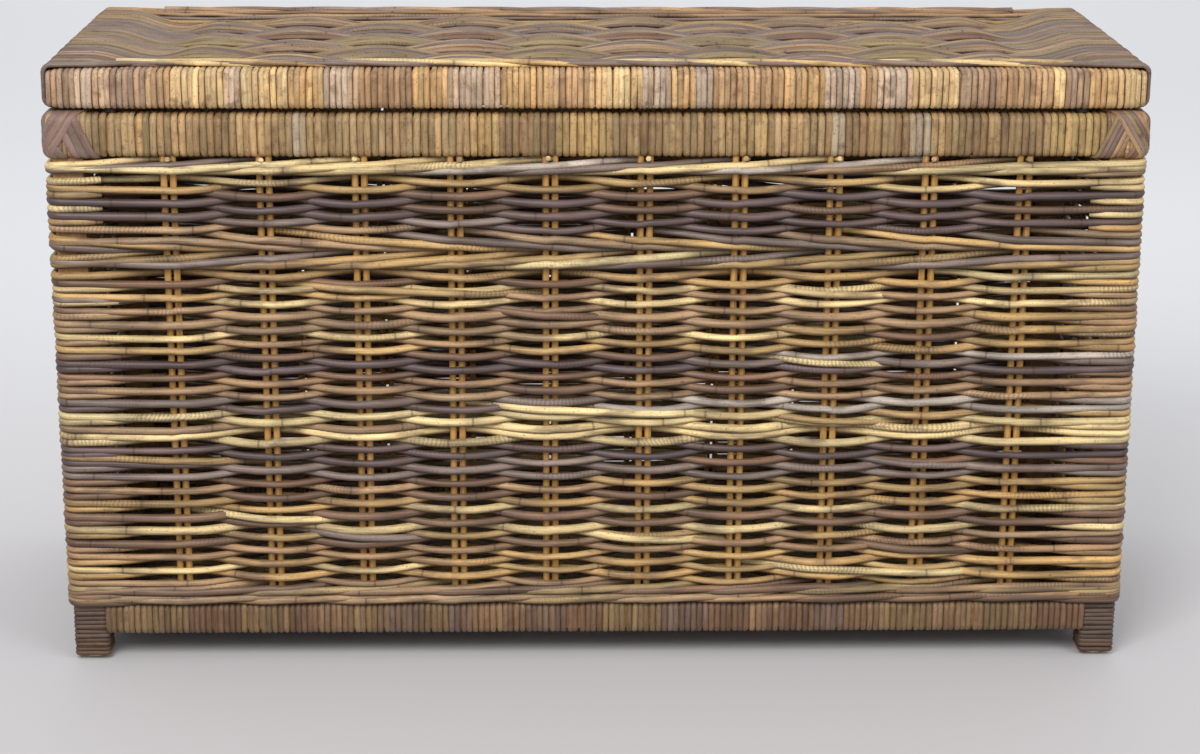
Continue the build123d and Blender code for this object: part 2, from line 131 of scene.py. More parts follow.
class Graph:
    # adds nodes to a material's tree or a geometry tree
    def __init__(self, tree):
        self.tree = tree

    def add(self, kind, settings=None, values=None, output=0):
        node = self.tree.nodes.new(kind)
        for key, setting in (settings or {}).items():
            if key == "stops":
                self.fillRamp(node.color_ramp, setting)
            else:
                setattr(node, key, setting)
        for key, value in (values or {}).items():
            if isinstance(value, Value):
                self.tree.links.new(value.socket, node.inputs[key])
            else:
                node.inputs[key].default_value = value
        return Value(self, node.outputs[output]) if len(node.outputs) else node

    def fillRamp(self, ramp, stops):
        while len(ramp.elements) < len(stops):
            ramp.elements.new(1.0)
        for element, (place, colour) in zip(ramp.elements, stops):
            element.position = place
            element.color = opaque(colour)

    def mix(self, amount, first, second, blend="MIX"):
        settings = {"data_type": "RGBA", "blend_type": blend}
        return self.add("ShaderNodeMix", settings, {0: amount, 6: first, 7: second}, 2)

    def over(self, amount, below, colour):
        return self.mix(amount, below, opaque(colour))

    def shade(self, colour, amount):
        grey = self.add("ShaderNodeCombineColor", {}, {0: amount, 1: amount, 2: amount})
        return self.mix(1.0, colour, grey, "MULTIPLY")

    def ramp(self, amount, stops):
        return self.add("ShaderNodeValToRGB", {"stops": stops}, {0: amount})

    def bump(self, strength, distance, height):
        return self.add("ShaderNodeBump", {}, {"Strength": strength, "Distance": distance, "Height": height})

    def place(self):
        return self.add("ShaderNodeTexCoord", {}, {}, "Object")

    def noise(self, vector, scale, detail=2.0, roughness=0.5):
        values = {"Vector": vector, "Scale": scale, "Detail": detail, "Roughness": roughness}
        return self.add("ShaderNodeTexNoise", {}, values)

    def streaks(self, x, y, z, detail, roughness=0.5):
        return self.noise(self.join(x, y, z), 1.0, detail, roughness)

    def stretch(self, vector, amounts):
        return self.add("ShaderNodeVectorMath", {"operation": "MULTIPLY"}, {0: vector, 1: amounts})

    def attribute(self, name, output="Fac"):
        return self.add("ShaderNodeAttribute", {"attribute_name": name}, {}, output)

    def join(self, x, y, z):
        return self.add("ShaderNodeCombineXYZ", {}, {0: x, 1: y, 2: z})


def startMaterial(name, **fixed):
    # a material with only its shader, and the graph that feeds it
    material = bpy.data.materials.new(name)
    material.use_nodes = True
    shader = material.node_tree.nodes["Principled BSDF"]
    for socket, value in fixed.items():
        shader.inputs[socket.replace("_", " ")].default_value = value
    return material, Graph(material.node_tree), shader


def feed(graph, shader, **values):
    for socket, value in values.items():
        graph.tree.links.new(value.socket, shader.inputs[socket.replace("_", " ")])


def link(name, data):
    # a new object in the scene
    made = bpy.data.objects.new(name, data)
    bpy.context.scene.collection.objects.link(made)
    return made


def caneMaterial(name, look):
    # rattan: each rod's colour is on its mesh, and fibres, stains, ribs and node rings are added here;
    # painted shade darkens each rod's underside
    material, graph, shader = startMaterial(name, Specular_IOR_Level=look["shine"])
    place = graph.place()
    along, rod, up = (graph.attribute(label) for label in ("along", "rod", "up"))
    if look["across"] == "wide":
        across = graph.attribute("wide")
    else:
        parts = {0: place, 1: look["across"]}
        across = graph.add("ShaderNodeVectorMath", {"operation": "DOT_PRODUCT"}, parts, 1)
    fibres = graph.streaks(along * look["fibreAlong"], across * look["fibreAcross"], rod * 91.0, 3.0, 0.6)
    slow = graph.streaks(along * look["blotch"], rod * 57.0, 0.0, 2.0)
    stains = graph.streaks(along * look["stainAlong"], rod * 31.0, across * 60.0, 4.0, 0.6)
    specks = graph.noise(place, look["speckScale"], 2.0, 0.6).between(0.60, 0.70)
    ring = abs((along / look["nodeSpacing"] + rod * 7.7).fraction() - 0.5)
    ringLine = ring.between(look["ringWidth"], look["ringWidth"] * 0.2)
    nearRing = ring.between(look["ringWidth"] * 12, 0.0)
    # here and there a rod is ribbed crossways
    ribPlaces = graph.streaks(along * look["ribPatch"], rod * 43.0, 0.0, 1.0).between(0.59, 0.68)
    ribs = abs((along / look["ribSpacing"] + stains * 5.0).fraction() - 0.5).between(0.1, 0.45) * ribPlaces
    shade = fibres.between(0.3, 0.7) * 0.44 + slow.between(0.3, 0.7) * look["slow"] + look["least"]
    colour = graph.shade(graph.attribute("cane", "Color"), shade)
    colour = graph.over(stains.between(0.50, 0.66) * look["stains"], colour, look["stainColour"])
    # painted shade: the colour turns near black brown where a rod's surface faces down
    colour = graph.over(up.between(0.1, -0.85) * look["paintedUnderShade"], colour, look["paintedUnderShadeColour"])
    colour = graph.over(specks * look["specks"], colour, look["speckColour"])
    colour = graph.over(ribs * look["ribs"], colour, look["speckColour"])
    colour = graph.over(nearRing * 0.35, colour, look["nodeColour"])
    colour = graph.over(ringLine * 0.5, colour, look["ringColour"])
    bump = graph.bump(look["bump"], 0.5 * mm, fibres * 0.6 + ringLine * 0.8 - ribs * 0.8)
    feed(graph, shader, Base_Color=colour, Roughness=fibres * 0.25 + look["roughness"], Normal=bump)
    return material


rodLook = {
    "shine": 0.5,
    "across": (0.0, 0.0, 1.0),
    "fibreAlong": 22.0,
    "fibreAcross": 900.0,
    "blotch": 11.0,
    "slow": 0.6,
    "least": 0.38,
    "speckScale": 620.0,
    "specks": 0.7,
    "speckColour": (0.24, 0.17, 0.12),
    "stainAlong": 16.0,
    "stains": 0.62,
    "ribSpacing": 3.8 * mm,
    "ribPatch": 7.0,
    "ribs": 0.4,
    "stainColour": (0.36, 0.27, 0.22),
    # painted shade on the rods' undersides: its strength and its colour
    "paintedUnderShade": 0.75,
    "paintedUnderShadeColour": (0.16, 0.11, 0.08),
    "nodeSpacing": 0.18,
    "nodeColour": (0.30, 0.21, 0.14),
    "ringWidth": 0.009,
    "ringColour": (0.15, 0.10, 0.07),
    "bump": 0.35,
    "roughness": 0.36,
}
wallCane = caneMaterial("wallCane", rodLook)
lidCane = caneMaterial("lidCane", {
    **rodLook, "across": (0.0, 1.0, 0.4), "nodeSpacing": 0.21, "fibreAcross": 1100.0, "slow": 0.45,
    "least": 0.6, "stains": 0.6, "paintedUnderShade": 0.0})
peelCane = caneMaterial("peelCane", {
    **rodLook, "across": "wide", "nodeSpacing": 0.4, "fibreAcross": 1500.0, "slow": 0.3, "least": 0.6,
    "roughness": 0.45, "paintedUnderShade": 0.0})
# wound cane has no length on its mesh, so its fibres follow the height and it shows no node rings
woundLook = {
    "shine": 0.4,
    "speckScale": 480.0,
    "specks": 0.5,
    "speckColour": (0.24, 0.17, 0.12),
    "patchScale": 70.0,
    "patches": 0.55,
    "patchColour": (0.40, 0.29, 0.21),
    "bump": 0.35,
    "roughness": 0.42,
}


def woundMaterial(name, look, stretched):
    material, graph, shader = startMaterial(name, Specular_IOR_Level=look["shine"])
    place = graph.place()
    rod = graph.attribute("rod")
    parts = {0: graph.stretch(place, stretched), 1: graph.join(rod * 91.0, rod * 13.0, 0.0)}
    fibres = graph.noise(graph.add("ShaderNodeVectorMath", {"operation": "ADD"}, parts), 1.0, 3.0, 0.6)
    blotches = graph.streaks(rod * 40.0, graph.noise(place, 30.0) * 4.0, 0.0, 1.0)
    specks = graph.noise(place, look["speckScale"], 2.0, 0.6).between(0.58, 0.70)
    patches = graph.noise(place, look["patchScale"], 4.0, 0.65).between(0.53, 0.68)
    shade = fibres.between(0.3, 0.7) * 0.30 + blotches.between(0.3, 0.7) * 0.30 + 0.52
    colour = graph.shade(graph.attribute("cane", "Color"), shade)
    colour = graph.over(patches * look["patches"], colour, look["patchColour"])
    colour = graph.over(specks * look["specks"], colour, look["speckColour"])
    bump = graph.bump(look["bump"], 0.4 * mm, fibres)
    feed(graph, shader, Base_Color=colour, Roughness=fibres * 0.25 + look["roughness"], Normal=bump)
    return material


woundRails = woundMaterial("woundRails", woundLook, (700.0, 700.0, 60.0))
woundFeet = woundMaterial("woundFeet", woundLook, (60.0, 60.0, 700.0))


def woodMaterial(name, grainScale, roughness, stops):
    material, graph, shader = startMaterial(name, Specular_IOR_Level=0.3)
    place = graph.place()
    grain = graph.noise(graph.stretch(place, grainScale), 1.0, 4.0, 0.6)
    wide = graph.noise(graph.stretch(place, tuple(0.2 * scale for scale in grainScale)), 1.0, 2.0)
    colour = graph.ramp(grain * 0.6 + wide * 0.4, stops)
    bump = graph.bump(0.3, 0.3 * mm, grain)
    feed(graph, shader, Base_Color=colour, Roughness=grain * 0.3 + roughness, Normal=bump)
    return material


hardwoodStops = [(0.3, (0.50, 0.36, 0.23)), (0.55, (0.66, 0.50, 0.33)), (0.75, (0.74, 0.59, 0.41))]
goldenStops = [(0.3, (0.50, 0.36, 0.20)), (0.5, (0.74, 0.56, 0.31)), (0.7, (0.84, 0.68, 0.42))]
# the last stops are painted shade, for the lid's bars where they show through the gaps in the lid
darkStops = [(0.3, (0.22, 0.16, 0.12)), (0.5, (0.34, 0.25, 0.18)), (0.7, (0.42, 0.32, 0.23))]
woods = {
    "post": woodMaterial("postWood", (160.0, 160.0, 9.0), 0.5, hardwoodStops),
    "longRail": woodMaterial("longRailWood", (9.0, 160.0, 160.0), 0.5, hardwoodStops),
    "endRail": woodMaterial("endRailWood", (160.0, 9.0, 160.0), 0.5, hardwoodStops),
    "stake": woodMaterial("stakeCane", (420.0, 420.0, 22.0), 0.42, goldenStops),
    # painted shade: the lid's bars are coloured far darker than the base's bars, so they read as shade in the
    # gaps between the lid's bundles
    "lidBar": woodMaterial("paintedShadeBarCane", (420.0, 22.0, 420.0), 0.55, darkStops),
    "bar": woodMaterial("barCane", (420.0, 22.0, 420.0), 0.42, goldenStops),
}


def smoothMaterial(name, stops, textureScale, stainScale, relief, stainShine, roughness, **fixed):
    # metal, plastic or rubber: a fine texture, and stains that change its colour
    material, graph, shader = startMaterial(name, **fixed)
    place = graph.place()
    texture = graph.noise(graph.stretch(place, textureScale), 1.0, 3.0, 0.6)
    stain = graph.noise(place, stainScale, 3.0, 0.6)
    bump = graph.bump(relief, 0.1 * mm, texture)
    feed(graph, shader, Base_Color=graph.ramp(stain, stops), Normal=bump,
         Roughness=texture * 0.2 + stain * stainShine + roughness)
    return material


steelStops = [(0.35, (0.42, 0.38, 0.32)), (0.6, (0.68, 0.64, 0.57))]
brassStops = [(0.35, (0.45, 0.34, 0.18)), (0.6, (0.75, 0.62, 0.36))]
plasticStops = [(0.3, (0.70, 0.68, 0.63)), (0.7, (0.86, 0.85, 0.81))]
rubberStops = [(0.3, (0.10, 0.09, 0.08)), (0.7, (0.20, 0.18, 0.17))]
metal = {"stainScale": 180.0, "relief": 0.15, "stainShine": 0.2, "roughness": 0.22, "Metallic": 1.0}
moulded = {"relief": 0.2, "stainShine": 0.0, "Specular_IOR_Level": 0.35}
hingeSteel = smoothMaterial("hingeSteel", steelStops, (40.0, 2500.0, 900.0), **metal)
screwBrass = smoothMaterial("screwBrass", brassStops, (900.0,) * 3, **metal)
glidePlastic = smoothMaterial("glidePlastic", plasticStops, (1500.0,) * 3, 120.0, roughness=0.4, **moulded)
bumperRubber = smoothMaterial("bumperRubber", rubberStops, (2200.0,) * 3, 176.0, roughness=0.6, **moulded)
print("materials made")


def startTree(name, sockets):
    tree = bpy.data.node_groups.new(name, "GeometryNodeTree")
    tree.interface.new_socket("Geometry", in_out="INPUT", socket_type="NodeSocketGeometry")
    for label, kind in sockets.items():
        tree.interface.new_socket(label, in_out="INPUT", socket_type=kind)
    tree.interface.new_socket("Geometry", in_out="OUTPUT", socket_type="NodeSocketGeometry")
    graph = Graph(tree)
    start = tree.nodes.new("NodeGroupInput")
    return graph, {socket.name: Value(graph, socket) for socket in start.outputs if socket.name}


def endTree(graph, geometry, material):
    realized = graph.add("GeometryNodeRealizeInstances", {}, {0: geometry})
    smooth = graph.add("GeometryNodeSetShadeSmooth", {}, {0: realized})
    painted = graph.add("GeometryNodeSetMaterial", {}, {0: smooth, "Material": material})
    end = graph.tree.nodes.new("NodeGroupOutput")
    graph.tree.links.new(painted.socket, end.inputs[0])
    return graph.tree


def named(graph, name, kind="FLOAT"):
    return graph.add("GeometryNodeInputNamedAttribute", {"data_type": kind}, {"Name": name})


def rodTree():
    # lines become round rods whose thickness wanders a little along them
    sockets = {"sides": "NodeSocketInt", "unevenness": "NodeSocketFloat", "seed": "NodeSocketFloat",
               "material": "NodeSocketMaterial"}
    graph, given = startTree("bentRods", sockets)
    lines = graph.add("GeometryNodeMeshToCurve", {}, {0: given["Geometry"]})
    place = named(graph, "along") * 16.0 + named(graph, "rod") * 60.0 + given["seed"]
    values = {"W": place, "Scale": 1.0, "Detail": 1.0}
    wander = graph.add("ShaderNodeTexNoise", {"noise_dimensions": "1D"}, values)
    radius = named(graph, "thickness") * 0.5 * (1 + (wander - 0.5) * given["unevenness"])
    ring = graph.add("GeometryNodeCurvePrimitiveCircle", {}, {"Resolution": given["sides"], "Radius": 1.0})
    swept = graph.add("GeometryNodeCurveToMesh", {}, {0: lines, 1: ring, "Scale": radius, "Fill Caps": True})
    # the height of each normal is kept as up, from which the cane material paints shade on the rods'
    # undersides
    facing = graph.add("GeometryNodeInputNormal", {}, {})
    values = {0: swept, "Name": "up", "Value": graph.add("ShaderNodeSeparateXYZ", {}, {0: facing}, 2)}
    kept = graph.add("GeometryNodeStoreNamedAttribute", {"data_type": "FLOAT"}, values)
    return endTree(graph, kept, given["material"])


def turnTree():
    # each point becomes one turn of cane round a rail of this outline
    sockets = dict.fromkeys(("across", "height", "corner", "cane", "pitch"), "NodeSocketFloat")
    graph, given = startTree("woundTurns", {**sockets, "material": "NodeSocketMaterial"})
    cane = given["cane"]
    size = {"Width": given["across"] - cane, "Height": given["height"] - cane}
    outline = graph.add("GeometryNodeCurvePrimitiveQuadrilateral", {}, size)
    values = {"Curve": outline, "Count": 4, "Radius": given["corner"] - cane / 2}
    rounded = graph.add("GeometryNodeFilletCurve", {"mode": "POLY"}, values)
    ring = graph.add("GeometryNodeCurvePrimitiveCircle", {}, {"Resolution": 6, "Radius": cane / 2})
    turn = graph.add("GeometryNodeCurveToMesh", {}, {0: rounded, 1: ring})
    scale = graph.join(1.0, 1.0, given["pitch"] / cane)
    wide = graph.add("GeometryNodeTransform", {}, {0: turn, "Scale": scale})
    turning = graph.add("FunctionNodeEulerToRotation", {}, {0: named(graph, "turning", "FLOAT_VECTOR")})
    values = {"Points": given["Geometry"], "Instance": wide, "Rotation": turning}
    turns = graph.add("GeometryNodeInstanceOnPoints", {}, {**values, "Scale": named(graph, "size")})
    return endTree(graph, turns, given["material"])


trees = {"rods": rodTree(), "turns": turnTree()}


def addAttributes(mesh, **lists):
    # numbers, vectors and colours, told apart by how many numbers a value has
    kinds = {1: ("FLOAT", "value"), 3: ("FLOAT_VECTOR", "vector"), 4: ("FLOAT_COLOR", "color")}
    for name, values in lists.items():
        values = [(value,) if isinstance(value, float) else value for value in values]
        kind, field = kinds[len(values[0])]
        attribute = mesh.attributes.new(name, kind, "POINT")
        attribute.data.foreach_set(field, [number for value in values for number in value])


def grow(name, mesh, treeName, inputs):
    # runs a geometry tree on a mesh and keeps the result as a plain mesh
    seedling = link(name + "Lines", mesh)
    modifier = seedling.modifiers.new("tree", "NODES")
    tree = trees[treeName]
    modifier.node_group = tree
    for item in tree.interface.items_tree:
        if item.in_out == "INPUT" and item.name in inputs:
            modifier[item.identifier] = inputs[item.name]
    grown = bpy.data.meshes.new_from_object(seedling.evaluated_get(bpy.context.evaluated_depsgraph_get()))
    bpy.data.objects.remove(seedling)
    grown.name = name
    return link(name, grown)


def bendRods(name, rods, look, material):
    # rods is a list of (points, thickness, colour); the thickness is one number, or one for each point
    dice = random.Random(look["seed"])
    places, edges, thickness, along, number, colours = [], [], [], [], [], []
    for points, thick, colour in rods:
        first = len(places)
        mark, travelled = dice.random(), dice.random() * 3
        for i, point in enumerate(points):
            if i:
                travelled += (point - points[i - 1]).length
                edges.append((first + i - 1, first + i))
            along.append(travelled)
        places += points
        thickness += thick if isinstance(thick, list) else [thick] * len(points)
        number += [mark] * len(points)
        colours += [colour] * len(points)
    mesh = bpy.data.meshes.new(name + "Lines")
    mesh.from_pydata(places, edges, [])
    addAttributes(mesh, thickness=thickness, along=along, rod=number, cane=colours)
    return grow(name, mesh, "rods", {**look, "seed": float(look["seed"]), "material": material})


def windTurns(name, turns, look, material):
    # turns is a list of (place, turning, size, colour)
    dice = random.Random(look["seed"])
    mesh = bpy.data.meshes.new(name + "Points")
    places, turnings, sizes, colours = zip(*turns)
    mesh.from_pydata(places, [], [])
    addAttributes(mesh, turning=turnings, size=sizes, cane=colours, rod=[dice.random() for _ in turns])
    return grow(name, mesh, "turns", {**look, "pitch": look["pitch"] * look["spread"], "material": material})


def finishPiece(piece, body, slotName, *nodes):
    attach(piece, body)
    if nodes:
        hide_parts(*nodes)
    return piece


def span(*nodes):
    # lowest and highest corner of several nodes together
    boxes = [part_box(node) for node in nodes]
    low = Vector(min(box[0][axis] for box in boxes) for axis in range(3))
    high = Vector(max(box[1][axis] for box in boxes) for axis in range(3))
    return low, high


sides = ("front", "right", "back", "left")
weaveNodes = [f"weave_{side}" for side in sides]
wallLow, wallHigh = span(*weaveNodes, "wale_upper", "wale_lower")
wallLow = Vector((-cadBox[1].x, wallLow.y, wallLow.z))
wallHigh = Vector((cadBox[1].x, wallHigh.y, wallHigh.z))
wall = {
    "stakeInset": (span("stakes_front")[0].y + span("stakes_front")[1].y) / 2 - wallLow.y,
    "stakeHalf": 4.25 * mm,
    "out": 6.9 * mm,
    "into": 6.9 * mm,
    "cornerRadius": 11 * mm,
    "postReach": 40 * mm,
    "steps": 7,
}


def sideFrames():
    # for each side: the corner where it starts, the way it runs, the way out, its length and its stake pairs
    left, front, right, back = wallLow.x, wallLow.y, wallHigh.x, wallHigh.y
    corners = [(left, front), (right, front), (right, back), (left, back)]
    result = []
    for i, side in enumerate(sides):
        start = Vector((*corners[i], 0))
        end = Vector((*corners[(i + 1) % 4], 0))
        run = (end - start).normalized()
        out = Vector((run.y, -run.x, 0))
        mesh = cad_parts[f"stakes_{side}"].data
        places = sorted({round((vertex.co - start).dot(run) / (2 * mm)) for vertex in mesh.vertices})
        groups = [[places[0]]]
        for place in places[1:]:
            if place - groups[-1][-1] > 8:
                groups.append([])
            groups[-1].append(place)
        pairs = [(group[0] + group[-1]) / 2 * 2 * mm for group in groups]
        length = (end - start).length
        result.append({"start": start, "run": run, "out": out, "length": length, "pairs": pairs})
    return result


wallSides = sideFrames()
# distances along the walls, from the front left corner: where each side starts, and each stake pair
wallStarts = [sum(side["length"] for side in wallSides[:i]) for i in range(4)]
wallLength = sum(side["length"] for side in wallSides)
pairTravel = [start + place for start, side in zip(wallStarts, wallSides) for place in side["pairs"]]
pairCount = len(pairTravel)
print("stake pairs round the walls:", pairCount)


def ease(a, b, t):
    return a + (b - a) * (0.5 - 0.5 * math.cos(math.pi * t))


def straight(a, b, t):
    return a + (b - a) * t


def heightsAlong(travels, lifts, rise):
    # lifts gives the height just before and just after each stake pair
    stops = []
    for travel, (before, after) in zip(pairTravel, lifts):
        stops += [(travel - wall["stakeHalf"], before), (travel + wall["stakeHalf"], after)]
    stops = [(stops[-1][0] - wallLength, stops[-1][1])] + stops + [(stops[0][0] + wallLength, stops[0][1])]
    heights = []
    k = 0
    for travel in travels:
        while k < len(stops) - 2 and travel > stops[k + 1][0]:
            k += 1
        (t0, z0), (t1, z1) = stops[k], stops[k + 1]
        heights.append(rise(z0, z1, (travel - t0) / (t1 - t0)))
    return heights


def wallPath(depths, lifts, rise=ease):
    # a closed path round the walls, outside the four posts, as points and their distances along the walls
    inset = wall["stakeInset"] - wall["out"]
    bend = wall["cornerRadius"]
    spots, travels = [], []
    index = 0
    for begin, side in zip(wallStarts, wallSides):
        keys = [(inset + bend, wall["out"]), (wall["postReach"], wall["out"])]
        for place in side["pairs"]:
            keys += [(place + step * wall["stakeHalf"], depths[index]) for step in (-1, 1)]
            index += 1
        keys.append((side["length"] - wall["postReach"], wall["out"]))
        keys.append((side["length"] - inset - bend, wall["out"]))
        for (t0, d0), (t1, d1) in zip(keys, keys[1:]):
            count = wall["steps"] if t1 - t0 > 20 * mm else 1
            for i in range(count):
                along = t0 + (t1 - t0) * i / count
                across = ease(d0, d1, i / count) - wall["stakeInset"]
                spots.append(side["start"] + side["run"] * along + side["out"] * across)
                travels.append(begin + along)
        centre = side["start"] + side["run"] * keys[-1][0] - side["out"] * (inset + bend)
        for i in range(5):
            angle = math.pi / 2 * i / 5
            reach = side["out"] * (bend * math.cos(angle)) + side["run"] * (bend * math.sin(angle))
            spots.append(centre + reach)
            travels.append(begin + keys[-1][0] + 2 * (inset + bend) * i / 5)
    heights = heightsAlong(travels, lifts, rise)
    return [Vector((spot.x, spot.y, height)) for spot, height in zip(spots, heights)], travels


def cutPath(points, travels, start, stop, overlap=4 * mm):
    # the part of a closed path between two distances; stop may be past the end of the first time round
    part = []
    for turn in (0, wallLength):
        for point, travel in zip(points, travels):
            if start - overlap <= travel + turn <= stop + overlap:
                part.append(point.copy())
    return part


rowLook = {
    "seed": 11,
    "pitch": 6.25 * mm,
    "thin": 6.5 * mm,
    "thick": 8.1 * mm,
    "smile": 1.6 * mm,
    "wobble": 0.8 * mm,
    "thickerBehind": 1.12,
    "sides": 8,
    "unevenness": 0.24,
    "spread": 0.2,
    "loopReach": 48 * mm,
    "loopsAbove": 0.400,
    "crossing": 16,
    "crossingDrop": 11 * mm,
    "endFromCorner": 37 * mm,
    # down to this height, the rods are picked from these colours
    "bands": (
        (0.456, ("straw", "honey")),
        (0.421, ("plum", "plum", "plum", "slate", "umber")),
        (0.405, ("umber", "slate", "tan", "plum")),
        (0.365, ("honey", "honey", "umber", "tan", "straw")),
        (0.303, ("honey", "straw", "tan", "honey", "umber", "tan")),
        (0.246, ("slate", "umber", "plum", "tan", "silver")),
        (0.217, ("straw", "honey", "straw", "tan")),
        (0.179, ("umber", "plum", "honey", "slate", "straw")),
        (0.000, ("tan", "honey", "straw", "umber", "honey", "honey")),
    ),
}


def thicknessAlong(points, thick):
    # the back wall is woven a little tighter
    return [thick * (rowLook["thickerBehind"] if point.y > 0.1 else 1.0) for point in points]


def bandColours(height):
    for bottom, names in rowLook["bands"]:
        if height >= bottom:
            return names
    return rowLook["bands"][-1][1]


def rowCuts(behind, height, dice):
    # where a row's rods start and stop. High up, a light rod loops round one front corner instead
    corner = 0.0 if 0 in behind else wallStarts[1]
    cuts = [(pairTravel[i], pairTravel[i]) for i in dice.sample(behind[1:-2], dice.choice((2, 3)))]
    loop = None
    if height > rowLook["loopsAbove"] and corner == 0.0:
        loop = (pairTravel[behind[-1]], wallLength + rowLook["loopReach"])
        cuts.append((pairTravel[behind[-1]], pairTravel[0]))
    elif height > rowLook["loopsAbove"]:
        first = len(wallSides[0]["pairs"]) - 1
        loop = (corner - rowLook["loopReach"], pairTravel[first + 2])
        cuts = [cut for cut in cuts if not pairTravel[first] <= cut[0] <= pairTravel[first + 2]]
        cuts.append((pairTravel[first], pairTravel[first + 2]))
    return sorted(cuts), loop


def hiddenEnd(loop, height, dice):
    # a straight piece of rod inside the front wall, between the first stake pair and the corner
    start, stop = rowLook["endFromCorner"], pairTravel[0]
    if loop[1] <= wallLength:
        start, stop = pairTravel[len(wallSides[0]["pairs"]) - 1], wallStarts[1] - rowLook["endFromCorner"]
    depth = wallLow.y + wall["stakeInset"] + wall["into"]
    lifts = [height + dice.uniform(-1, 1) * rowLook["wobble"] for _ in range(2)]
    return [Vector((wallLow.x + travel, depth, lift)) for travel, lift in zip((start, stop), lifts)]


def weaveRows(low, high, firstRow, dice):
    count = round((high - low) / (rowLook["pitch"] * (1.07 if high < 0.25 else 1)))
    rods = []
    for row in range(count):
        height = low + (row + 0.5) * (high - low) / count
        behind = [i for i in range(pairCount) if (firstRow + row + i) % 2]
        thick = dice.uniform(rowLook["thin"], rowLook["thick"])
        depths, lifts = [], []
        for i in range(pairCount):
            if i in behind:
                depths.append(-wall["into"] - dice.uniform(0, 1) * mm)
                lift = height + rowLook["smile"]
            else:
                depths.append(wall["out"] + dice.uniform(-0.3, 1.2) * mm)
                lift = height - rowLook["smile"]
            lifts.append([lift + dice.uniform(-1, 1) * rowLook["wobble"] for _ in range(2)])
        points, travels = wallPath(depths, lifts)
        cuts, loop = rowCuts(behind, height, dice)
        starts = [cut[1] for cut in cuts]
        stops = [cut[0] for cut in cuts[1:]] + [cuts[0][0] + wallLength]
        if cuts[-1][1] < cuts[-1][0]:
            starts[-1] = cuts[-1][1] + wallLength
        for start, stop in zip(starts, stops):
            part = cutPath(points, travels, start % wallLength, stop - start + start % wallLength)
            sizes = thicknessAlong(part, thick * dice.uniform(0.92, 1.1))
            rods.append((part, sizes, pickColour(bandColours(height), dice, rowLook["spread"])))
        if loop:
            rods.append((hiddenEnd(loop, height, dice), thick, pickColour(bandColours(height), dice)))
            part = cutPath(points, travels, *loop)
            for place in ((-1, -2) if loop[1] > wallLength else (0, 1)):
                part[place].y += 3.5 * mm if place in (-1, 0) else 1 * mm
            rods.append((part, thick * 1.05, pickColour(("straw", "straw", "honey"), dice, 0.1)))
    return rods


def crossingRods(low, high, dice):
    # a few loose rods that lie outside the rows and drop across some of them
    rods = []
    for _ in range(rowLook["crossing"]):
        first = dice.randrange(pairCount)
        length = dice.choice((2, 3))
        top = dice.uniform(low + 15 * mm, high - 3 * mm)
        depths = [wall["out"]] * pairCount
        lifts = [[top, top]] * pairCount
        for i in range(length + 1):
            k = (first + i) % pairCount
            height = top - rowLook["crossingDrop"] * i / length
            lifts[k] = [height, height]
            depths[k] = -wall["into"] if i in (0, length) else wall["out"] + 3 * mm
        points, travels = wallPath(depths, lifts, straight)
        stop = pairTravel[(first + length) % pairCount]
        stop += wallLength if stop < pairTravel[first] else 0.0
        part = cutPath(points, travels, pairTravel[first], stop)
        thick = dice.uniform(rowLook["thin"], rowLook["thick"])
        names = ("slate", "honey", "umber", "straw", "plum")
        rods.append((part, thick, pickColour(names, dice, rowLook["spread"])))
    return rods


upperField = (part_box("wale_middle")[1].z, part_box("wale_upper")[0].z)
lowerField = (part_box("wale_lower")[1].z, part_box("wale_middle")[0].z)
dice = random.Random(rowLook["seed"])
upperRods = weaveRows(*upperField, 0, dice)
halfWay = (lowerField[0] + lowerField[1]) / 2
middleRods = weaveRows(halfWay, lowerField[1], 0, dice) + crossingRods(halfWay, lowerField[1], dice)
lowerRods = weaveRows(lowerField[0], halfWay, 0, dice) + crossingRods(lowerField[0], halfWay, dice)
for name, rods in (("upperRows", upperRods), ("middleRows", middleRods), ("lowerRows", lowerRods)):
    finishPiece(bendRods(name, rods, rowLook, wallCane), "trunk", "kubu_rattan", *weaveNodes)
print("wall rows woven:", len(upperRods) + len(middleRods) + len(lowerRods), "rods")


# bands of thicker rods that pass two pairs and dive behind the third
waleLook = {
    "seed": 23,
    "thickness": 7.8 * mm,
    "sides": 8,
    "unevenness": 0.2,
    "outMore": 1.6 * mm,
    "spread": 0.18,
}
# each line of a band: its share of the band's height and its climb
waleBands = {
    "upperWale": ("wale_upper", ((0.5, 8.5),), ("straw", "silver", "straw", "tan", "slate", "straw")),
    "middleWale": ("wale_middle", ((0.27, 10.5), (0.73, -12.5)), ("tan", "slate", "honey", "straw", "honey")),
    "lowerWale": ("wale_lower", ((0.26, 5.5), (0.72, 5.5)), ("tan", "umber", "olive", "umber", "tan")),
}


def waleRods(low, high, lines, names, dice):
    rods = []
    for share, climb in lines:
        height = low + (high - low) * share
        for strand in range(3):
            depths, lifts = [], []
            for i in range(pairCount):
                beat = (i + strand) % 3  # 0 is behind, 1 and 2 are in front
                depths.append((-wall["into"], wall["out"] + waleLook["outMore"], wall["out"])[beat])
                ends = ((0.75, -0.75), (-0.25, -0.25), (0.25, 0.25))[beat]
                lifts.append([height + climb * mm * end + dice.uniform(-0.6, 0.6) * mm for end in ends])
            points, travels = wallPath(depths, lifts, straight)
            behind = [pairTravel[i] for i in range(pairCount) if (i + strand) % 3 == 0]
            cuts = sorted(dice.sample(behind, 5))
            for start, stop in zip(cuts, cuts[1:] + [cuts[0] + wallLength]):
                thick = waleLook["thickness"] * dice.uniform(0.85, 1.08)
                colour = pickColour(names, dice, waleLook["spread"])
                part = cutPath(points, travels, start, stop)
                rods.append((part, thicknessAlong(part, thick), colour))
    return rods


